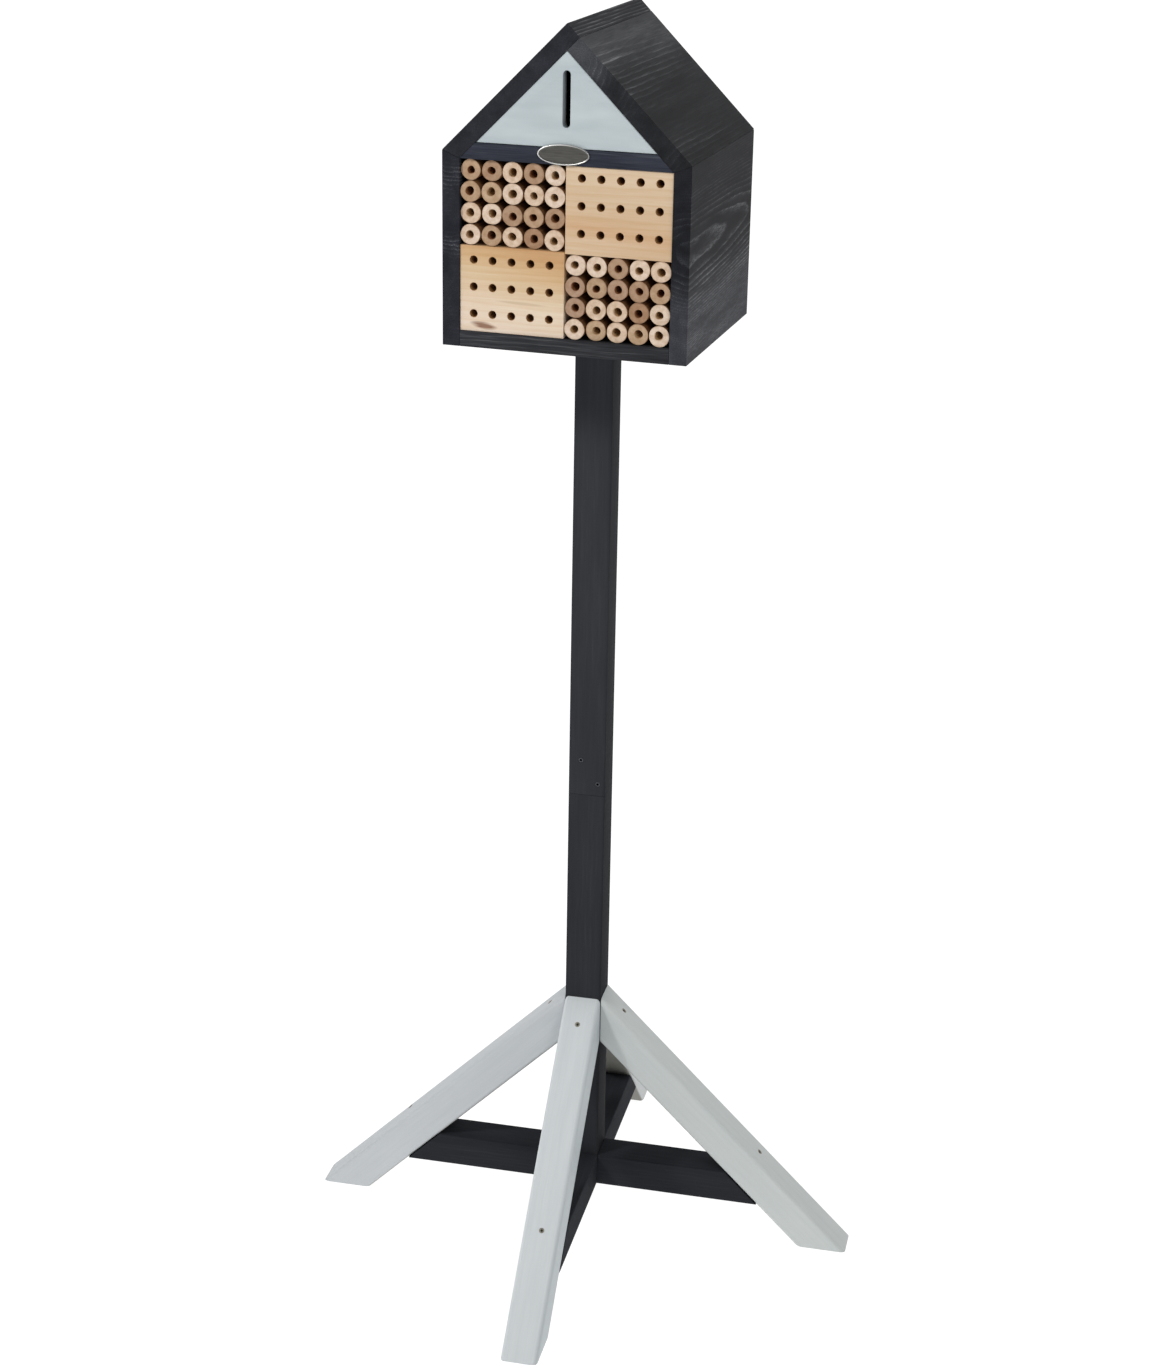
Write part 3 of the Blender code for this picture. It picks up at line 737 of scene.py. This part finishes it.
def sawnBamboo(tone, middle, edge):
    # sawn bamboo: a pale dense wall, faintly peppered with strands that darken towards the skin
    finish, tree, shader = newFinish("sawnBamboo." + tone, {"IOR": 1.5, "Specular IOR Level": 0.3})
    place = addNode(tree, "ShaderNodeTexCoord")
    wall = addNode(tree, "ShaderNodeAttribute", {"attribute_name": "wall"})
    across = addNode(tree, "ShaderNodeValToRGB", {
        "stops": [(0.0, edge), (0.1, middle), (0.8, middle), (1.0, edge)]}, {"Fac": wall.outputs["Fac"]})
    # strands are half a millimetre apart in life, drawn at 1.3 mm so that they show
    strands = addNode(tree, "ShaderNodeTexVoronoi", {"Scale": 1 / (1.3 * mm)},
                      {"Vector": place.outputs["Object"]})
    dots = addNode(tree, "ShaderNodeValToRGB", {"stops": [(0.12, "#d9cdbd"), (0.34, "#ffffff")]},
                   {"Fac": strands.outputs["Distance"]})
    mottle = addNode(tree, "ShaderNodeTexNoise", {"Scale": 1 / (5 * mm), "Detail": 3.0},
                     {"Vector": place.outputs["Object"]})
    shade = addNode(tree, "ShaderNodeValToRGB", {"stops": [(0.3, "#e6ddd2"), (0.65, "#ffffff")]},
                    {"Fac": mottle})
    speckled = addNode(tree, "ShaderNodeMix", {
        "data_type": "RGBA", "blend_type": "MULTIPLY", "Factor": 0.5}, {"A": across, "B": dots})
    colour = addNode(tree, "ShaderNodeMix", {
        "data_type": "RGBA", "blend_type": "MULTIPLY", "Factor": 1.0}, {"A": speckled, "B": shade})
    gloss = addNode(tree, "ShaderNodeMapRange", {"To Min": 0.6, "To Max": 0.75}, {"Value": mottle})
    relief = addNode(tree, "ShaderNodeBump", {"Strength": 0.15, "Distance": 0.2 * mm},
                     {"Height": strands.outputs["Distance"]})
    linkTo(tree, shader, {"Base Color": colour, "Roughness": gloss, "Normal": relief})
    return finish


def bambooSkin():
    # bamboo skin, scorched in the drying: waxy red brown, streaked along the stem
    finish, tree, shader = newFinish("bambooSkin", {"IOR": 1.5})
    place = addNode(tree, "ShaderNodeTexCoord")
    stem = addNode(tree, "ShaderNodeMapping", {"Scale": (1, 0.05, 1)}, {"Vector": place.outputs["Object"]})
    streaks = addNode(tree, "ShaderNodeTexNoise", {"Scale": 1 / (1.5 * mm), "Detail": 3.0},
                      {"Vector": stem})
    tint = addNode(tree, "ShaderNodeValToRGB", {"stops": [(0.3, "#5b3a22"), (0.7, "#805a38")]},
                   {"Fac": streaks})
    gloss = addNode(tree, "ShaderNodeMapRange", {"To Min": 0.4, "To Max": 0.55}, {"Value": streaks})
    linkTo(tree, shader, {"Base Color": tint, "Roughness": gloss})
    return finish


def bambooBore(name, dark, light):
    # inner wall of the stem: a dry papery lining, paler in the paler stems
    finish, tree, shader = newFinish("bambooBore." + name, {"IOR": 1.5})
    place = addNode(tree, "ShaderNodeTexCoord")
    lining = addNode(tree, "ShaderNodeTexNoise", {"Scale": 1 / (2 * mm), "Detail": 4.0},
                     {"Vector": place.outputs["Object"]})
    tint = addNode(tree, "ShaderNodeValToRGB", {"stops": [(0.3, dark), (0.7, light)]}, {"Fac": lining})
    gloss = addNode(tree, "ShaderNodeMapRange", {"To Min": 0.7, "To Max": 0.85}, {"Value": lining})
    linkTo(tree, shader, {"Base Color": tint, "Roughness": gloss})
    return finish


# a closed ring of points: an ellipse that is a little squared and dented
def wavyRing(radius, dice, ovalness, squareness):
    turn2, turn3, turn4 = (dice.uniform(0, 2 * math.pi) for _ in range(3))
    oval = dice.uniform(0, ovalness)
    dent = dice.uniform(0, ovalness / 2)
    square = dice.uniform(0, squareness)
    points = []
    for i in range(bamboo["sides"]):
        t = 2 * math.pi * i / bamboo["sides"]
        r = (1 + oval * math.cos(2 * t + turn2) + dent * math.cos(3 * t + turn3)
             + square * math.cos(4 * t + turn4))
        points.append(Vector((radius * r * math.cos(t), 0, radius * r * math.sin(t))))
    longest = max(p.length for p in points)
    return [p * min(1, radius / longest) for p in points]


def buildTube(node, piece, finishes, seed):
    dice = random.Random(seed)
    low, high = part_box(node)
    centre = Vector(((low.x + high.x) / 2, low.y, (low.z + high.z) / 2))
    skin = wavyRing(bamboo["radius"], dice, *bamboo["skinShape"])
    bore = wavyRing(dice.uniform(*bamboo["bore"]), dice, *bamboo["boreShape"])
    stray = Vector((dice.uniform(-1, 1), 0, dice.uniform(-1, 1))) * bamboo["stray"]
    bore = [p + stray for p in bore]
    lean = (dice.uniform(-1, 1) * bamboo["sawTilt"], dice.uniform(-1, 1) * bamboo["sawTilt"])
    length = high.y - low.y
    inset = bamboo["outerRim"] / bamboo["radius"]
    bm = bmesh.new()
    wall = bm.verts.layers.float.new("wall")
    # share of the wall, depth, and whether the ring follows the saw
    loops = [(1.0, length, False), (1.0, bamboo["outerRim"], True)]
    for ring in range(bamboo["faceRings"] + 1):
        inward = ring / bamboo["faceRings"]
        loops.append(((1 - inset) * (1 - inward) + bamboo["boreLip"] * inward, 0.0, True))
    loops += [(0.0, bamboo["boreRim"], True), (0.0, bamboo["boreStep"] * length, False),
              (0.0, length - bamboo["endWall"], False)]
    rings = []
    for share, depth, sawn in loops:
        ring = []
        for outer, inner in zip(skin, bore):
            spot = inner.lerp(outer, share)
            along = depth
            if sawn:
                along += lean[0] * spot.x + lean[1] * spot.z + bamboo["mouthSetback"]
            vert = bm.verts.new(centre + spot + Vector((0, along, 0)))
            vert[wall] = share
            ring.append(vert)
        rings.append(ring)
    sides = bamboo["sides"]
    for step, (a, b) in enumerate(zip(rings, rings[1:])):
        for i in range(sides):
            j = (i + 1) % sides
            face = bm.faces.new((a[i], a[j], b[j], b[i]))
            face.material_index = 1 if step == 0 else (2 if step >= len(rings) - 3 else 0)
    bm.faces.new(list(reversed(rings[0]))).material_index = 1
    bm.faces.new(rings[-1]).material_index = 2
    newPiece(piece, asMesh(bm, piece, 45), finishes, [node])


def buildTubes():
    cutEnds = {tone: sawnBamboo(tone, *pair) for tone, pair in bamboo["tones"].items()}
    bores = {name: bambooBore(name, *pair) for name, pair in bamboo["linings"].items()}
    skin = bambooSkin()
    for nest in ("upper", "lower"):
        for fromTop, row in enumerate(bamboo[nest]):
            tones = row.split()
            level = len(bamboo[nest]) - 1 - fromTop
            for fromLeft, tone in enumerate(tones):
                column = len(tones) - 1 - fromLeft if nest == "upper" else fromLeft
                number = level * len(tones) + column + 1
                node = f"{nest}_bamboo_tube_{number:02d}"
                seed = number + bamboo["seedStart"][nest]
                bore = bores["pale" if tone in bamboo["paleTones"] else "deep"]
                buildTube(node, f"{nest}Tube{number:02d}", [cutEnds[tone], skin, bore], seed)


buildTubes()
print("bamboo tubes laid")


# stand: everything here is made in the stand's own frame and then turned with it
stand = {
    "turn": math.radians(4.5),
    "post": 41 * mm, "postTop": 1.0597, "postFoot": 86.3 * mm, "rounding": 1.5 * mm,
    "splice": 541.5 * mm, "lap": 60 * mm, "seam": 0.3 * mm, "beamEasing": 0.8 * mm,
    # the stand's timber is planed finer than the boards
    "smooth": {"contrast": 0.04, "fibreTone": "#f4f4f5", "cloudTone": "#f0f0f1", "relief": 0.06,
               "shine": 0.02, "dark": "#303236"},
}
standTurn = Matrix.Rotation(stand["turn"], 4, "Z")


def standAlong(x, y, z):
    return standTurn @ Vector((x, y, z))


def platedSteel(name, dark, light):
    # steel screw, plated or phosphated: a dull head, rubbed brighter where the driver turned it
    finish, tree, shader = newFinish(name, {"Metallic": 1.0})
    place = addNode(tree, "ShaderNodeTexCoord")
    rub = addNode(tree, "ShaderNodeTexNoise", {"Scale": 1 / (0.7 * mm), "Detail": 3.0},
                  {"Vector": place.outputs["Object"]})
    tint = addNode(tree, "ShaderNodeValToRGB", {"stops": [(0.35, dark), (0.7, light)]}, {"Fac": rub})
    gloss = addNode(tree, "ShaderNodeMapRange", {"To Min": 0.4, "To Max": 0.6}, {"Value": rub})
    linkTo(tree, shader, {"Base Color": tint, "Roughness": gloss})
    return finish


# screws: countersunk heads with a star recess; the recess is coloured darker than the head, painted shade
screw = {
    "head": 2.6 * mm, "shank": 1.4 * mm, "length": 9 * mm, "sides": 36,
    "recess": 1.5 * mm, "lobes": 6, "lobeHeight": 0.14, "recessDepth": 2.2 * mm,
}
phosphated = platedSteel("phosphatedSteel", "#505256", "#686a6e")
zincPlated = platedSteel("zincPlatedSteel", "#8f8d80", "#b0ada0")
# painted shade: these two steels colour the recesses darker than the heads, near black in the splice screws
spliceRecessShade = platedSteel("nearBlackRecessShade", "#060607", "#0c0c0d")
legRecessShade = platedSteel("darkZincRecessShade", "#4a4945", "#636159")


def screwShape():
    head, shank = screw["head"], screw["shank"]
    # radius, height and how far the lobes stand out, from the floor of the recess to the end of the shank
    profile = [(0.5 * screw["recess"], -screw["recessDepth"], 1), (screw["recess"], -0.05 * mm, 1),
               (1.04 * screw["recess"], 0, 1), (0.8 * head, 0, 0), (0.95 * head, -0.08 * mm, 0),
               (head, -0.3 * mm, 0), (shank, -head, 0), (shank, -screw["length"], 0)]
    turns = [2 * math.pi * i / screw["sides"] for i in range(screw["sides"])]
    bm = bmesh.new()
    rings = []
    for radius, height, lobed in profile:
        ring = []
        for t in turns:
            r = radius * (1 + lobed * screw["lobeHeight"] * math.cos(screw["lobes"] * t))
            ring.append(bm.verts.new((r * math.cos(t), r * math.sin(t), height)))
        rings.append(ring)
    for step, (a, b) in enumerate(zip(rings, rings[1:])):
        for i in range(len(turns)):
            j = (i + 1) % len(turns)
            bm.faces.new((a[i], a[j], b[j], b[i])).material_index = 1 if step == 0 else 0
    bm.faces.new(list(reversed(rings[0]))).material_index = 1
    bm.faces.new(rings[-1])
    return bm


def driveScrew(name, steels, point, normal, sunk, spin):
    bm = screwShape()
    seat = (standTurn @ Matrix.Translation(point - normal * sunk)
            @ normal.to_track_quat("Z", "Y").to_matrix().to_4x4() @ Matrix.Rotation(spin, 4, "Z"))
    bmesh.ops.transform(bm, matrix=seat, verts=bm.verts[:])
    newPiece(name, asMesh(bm, name, 30), steels)


def turnStand(bm):
    bmesh.ops.transform(bm, matrix=standTurn, verts=bm.verts[:])
    return bm


# post: two lengths notched to half and lapped, held by two screws through the front half
splice = {
    "screws": [(-7.1 * mm, 582.2 * mm), (12.2 * mm, 555.2 * mm)],
    "pit": 2.75 * mm, "pitDepth": 6 * mm, "rim": 0.3 * mm, "sunk": 0.25 * mm,
}


def buildPost():
    half, seam = stand["post"] / 2, stand["seam"]
    lapTop = stand["splice"] + stand["lap"]
    upper = boxShape((-half, -half, stand["splice"]), (half, half, stand["postTop"]))
    easeEdges(upper, stand["rounding"], 4, axis=2)
    upper = cutAway(upper, boxShape((-1, -seam / 2, 0), (1, 1, lapTop + seam)))
    pits = bmesh.new()
    for x, z in splice["screws"]:
        pitShape(pits, (x, -half, z), Vector((0, -1, 0)), splice["pit"], splice["pitDepth"], splice["rim"])
    upper = cutAway(upper, pits)
    lower = boxShape((-half, -half, stand["postFoot"]), (half, half, lapTop))
    easeEdges(lower, stand["rounding"], 4, axis=2)
    lower = cutAway(lower, boxShape((-1, -1, stand["splice"] - seam), (1, seam / 2, 2)))
    for name, bm, node, pith in (("upperPost", upper, "upper_post", (0.035, 0.03, 0)),
                                 ("lowerPost", lower, "lower_post", (-0.05, 0.02, 0))):
        # the post is a little darker towards the foot, and its right face is coloured darker: painted shade
        # on that face
        log = {**stand["smooth"], "pith": pith, "along": (0, 0, 1), "dark": "#393b3f",
               "tints": [((0, 0, 1), (0.09, 0.70), [(0.0, "#e4e4e4"), (0.5, "#eeeeee"), (1.0, "#ffffff")]),
                         (standAlong(1, 0, 0), (-half, half), [(0.9, "#ffffff"), (1.0, "#e6e4e2")])]}
        newPiece(name, asMesh(turnStand(bm), name),
                 [planedSpruceStained("planedSpruceStained." + name, log)], [node])
    for number, (x, z) in enumerate(splice["screws"], 1):
        driveScrew(f"spliceScrew{number}", [phosphated, spliceRecessShade], Vector((x, -half, z)),
                   Vector((0, -1, 0)), splice["sunk"], 0.4 * number)


buildPost()
beamLogs = {
    "side_beam": {**stand["smooth"], "pith": (0, -0.04, 0.12), "along": standAlong(1, 0, 0)},
    "cross_beam": {**stand["smooth"], "pith": (0.05, 0, 0.03), "along": standAlong(0, 1, 0)},
}
for name, log in beamLogs.items():
    finishBoard(name, planedSpruceStained("planedSpruceStained." + name, log), stand["beamEasing"])
print("post and cross built")


# legs: rounded bars sawn upright against the post and level on the ground, two screws in each
legs = {
    "top": 291 * mm, "heel": 258 * mm, "toe": 315 * mm, "width": 41 * mm, "rounding": 4.5 * mm,
    "spare": 100 * mm, "endEasing": 0.8 * mm,
    "pit": 2.75 * mm, "pitDepth": 7 * mm, "rim": 0.25 * mm, "sunk": 0.5 * mm,
    # the paint lies even on the legs, in small soft patches
    "brushed": {"stretch": 9, "cloud": 9 * mm, "cloudTone": "#fafbfb", "relief": 0.12},
    "legs": {  # quarter turns, then each screw's reach from the post's axis and its shift to the side
        # painted light and shade: each leg's tones are set lighter or darker by how much light reaches it,
        # lightest on the front leg and darkest on the back leg, and the front leg's right face is coloured
        # darker still
        "right_leg": {"piece": "rightLeg", "turn": 0, "screws": [(43.9, 1.5), (207.7, 1.5)],
                      "tones": ("#cbd0cf", "#d0d5d4")},
        "back_leg": {"piece": "backLeg", "turn": 1, "screws": [(43.0, 1.0), (208.0, -2.0)],
                     "tones": ("#c0c3c3", "#c5c8c8")},
        "left_leg": {"piece": "leftLeg", "turn": 2, "screws": [(42.8, 1.3), (215.0, -11.6)],
                     "tones": ("#c9cdd0", "#ced2d5")},
        "front_leg": {"piece": "frontLeg", "turn": 3, "screws": [(44.0, -0.7), (212.0, 0.1)],
                      "tones": ("#dce1e3", "#e1e6e8"), "sideShade": "#d8dbdc"},
    },
}


def buildLeg(node, leg):
    postFace = stand["post"] / 2
    slope = legs["top"] / (legs["toe"] - postFace)
    fall = math.atan(slope)
    thick = (legs["toe"] - legs["heel"]) * math.sin(fall)
    half, spare = legs["width"] / 2, legs["spare"]
    run = (legs["toe"] - postFace) / math.cos(fall)
    bm = boxShape((-spare, -half, -thick), (run + spare, half, 0))
    easeEdges(bm, legs["rounding"], 8, axis=0)
    lean = Matrix.Translation((postFace, 0, legs["top"])) @ Matrix.Rotation(fall, 4, "Y")
    bmesh.ops.transform(bm, matrix=lean, verts=bm.verts[:])
    sawOff(bm, (postFace + stand["seam"], 0, 0), (-1, 0, 0))
    sawOff(bm, (0, 0, 0), (0, 0, -1))
    easeEdges(bm, legs["endEasing"], 2)
    outward = Vector((math.sin(fall), 0, math.cos(fall)))
    quarter = Matrix.Rotation(leg["turn"] * math.pi / 2, 4, "Z")
    sites = []
    pits = bmesh.new()
    for reach, shift in leg["screws"]:
        spot = Vector((reach * mm, shift * mm, legs["top"] - (reach * mm - postFace) * slope))
        sites.append(spot)
        pitShape(pits, spot, outward, legs["pit"], legs["pitDepth"], legs["rim"], finishNumber=1)
    bm = cutAway(bm, pits, 2)
    bmesh.ops.transform(bm, matrix=standTurn @ quarter, verts=bm.verts[:])
    along = standTurn @ quarter @ Vector((math.cos(fall), 0, -math.sin(fall)))
    pith = standTurn @ quarter @ Vector((0.12, 0.05, 0.10))
    flank = standTurn @ quarter @ Vector((0, 1, 0))
    tints = []
    # painted shade: one side face of the leg is coloured darker
    if "sideShade" in leg:
        tints.append((flank, (-half, half), [(0.88, "#ffffff"), (1.0, leg["sideShade"])]))
    paint = brushedGreyPaint("brushedGreyPaint." + leg["piece"], {
        **legs["brushed"], "pith": pith, "along": along, "tones": leg["tones"],
        "under": -(standTurn @ quarter @ outward), "tints": tints})
    # the pits' walls are pine coloured grey and darker than planed pine: painted shade in the pits
    pitWallShade = planedPineBare("drilledPine." + leg["piece"], {
        "pith": pith, "along": along, "heart": ((0, 0, 1), (0, 0.3), [(0, "#9a928b"), (1, "#a59d96")])})
    newPiece(leg["piece"], asMesh(bm, leg["piece"]), [paint, pitWallShade], [node])
    for number, spot in enumerate(sites, 1):
        driveScrew(f"{leg['piece']}Screw{number}", [zincPlated, legRecessShade], quarter @ spot,
                   quarter.to_3x3() @ outward, legs["sunk"], 0.7 * number)


for node, leg in legs["legs"].items():
    buildLeg(node, leg)
print("legs screwed on")
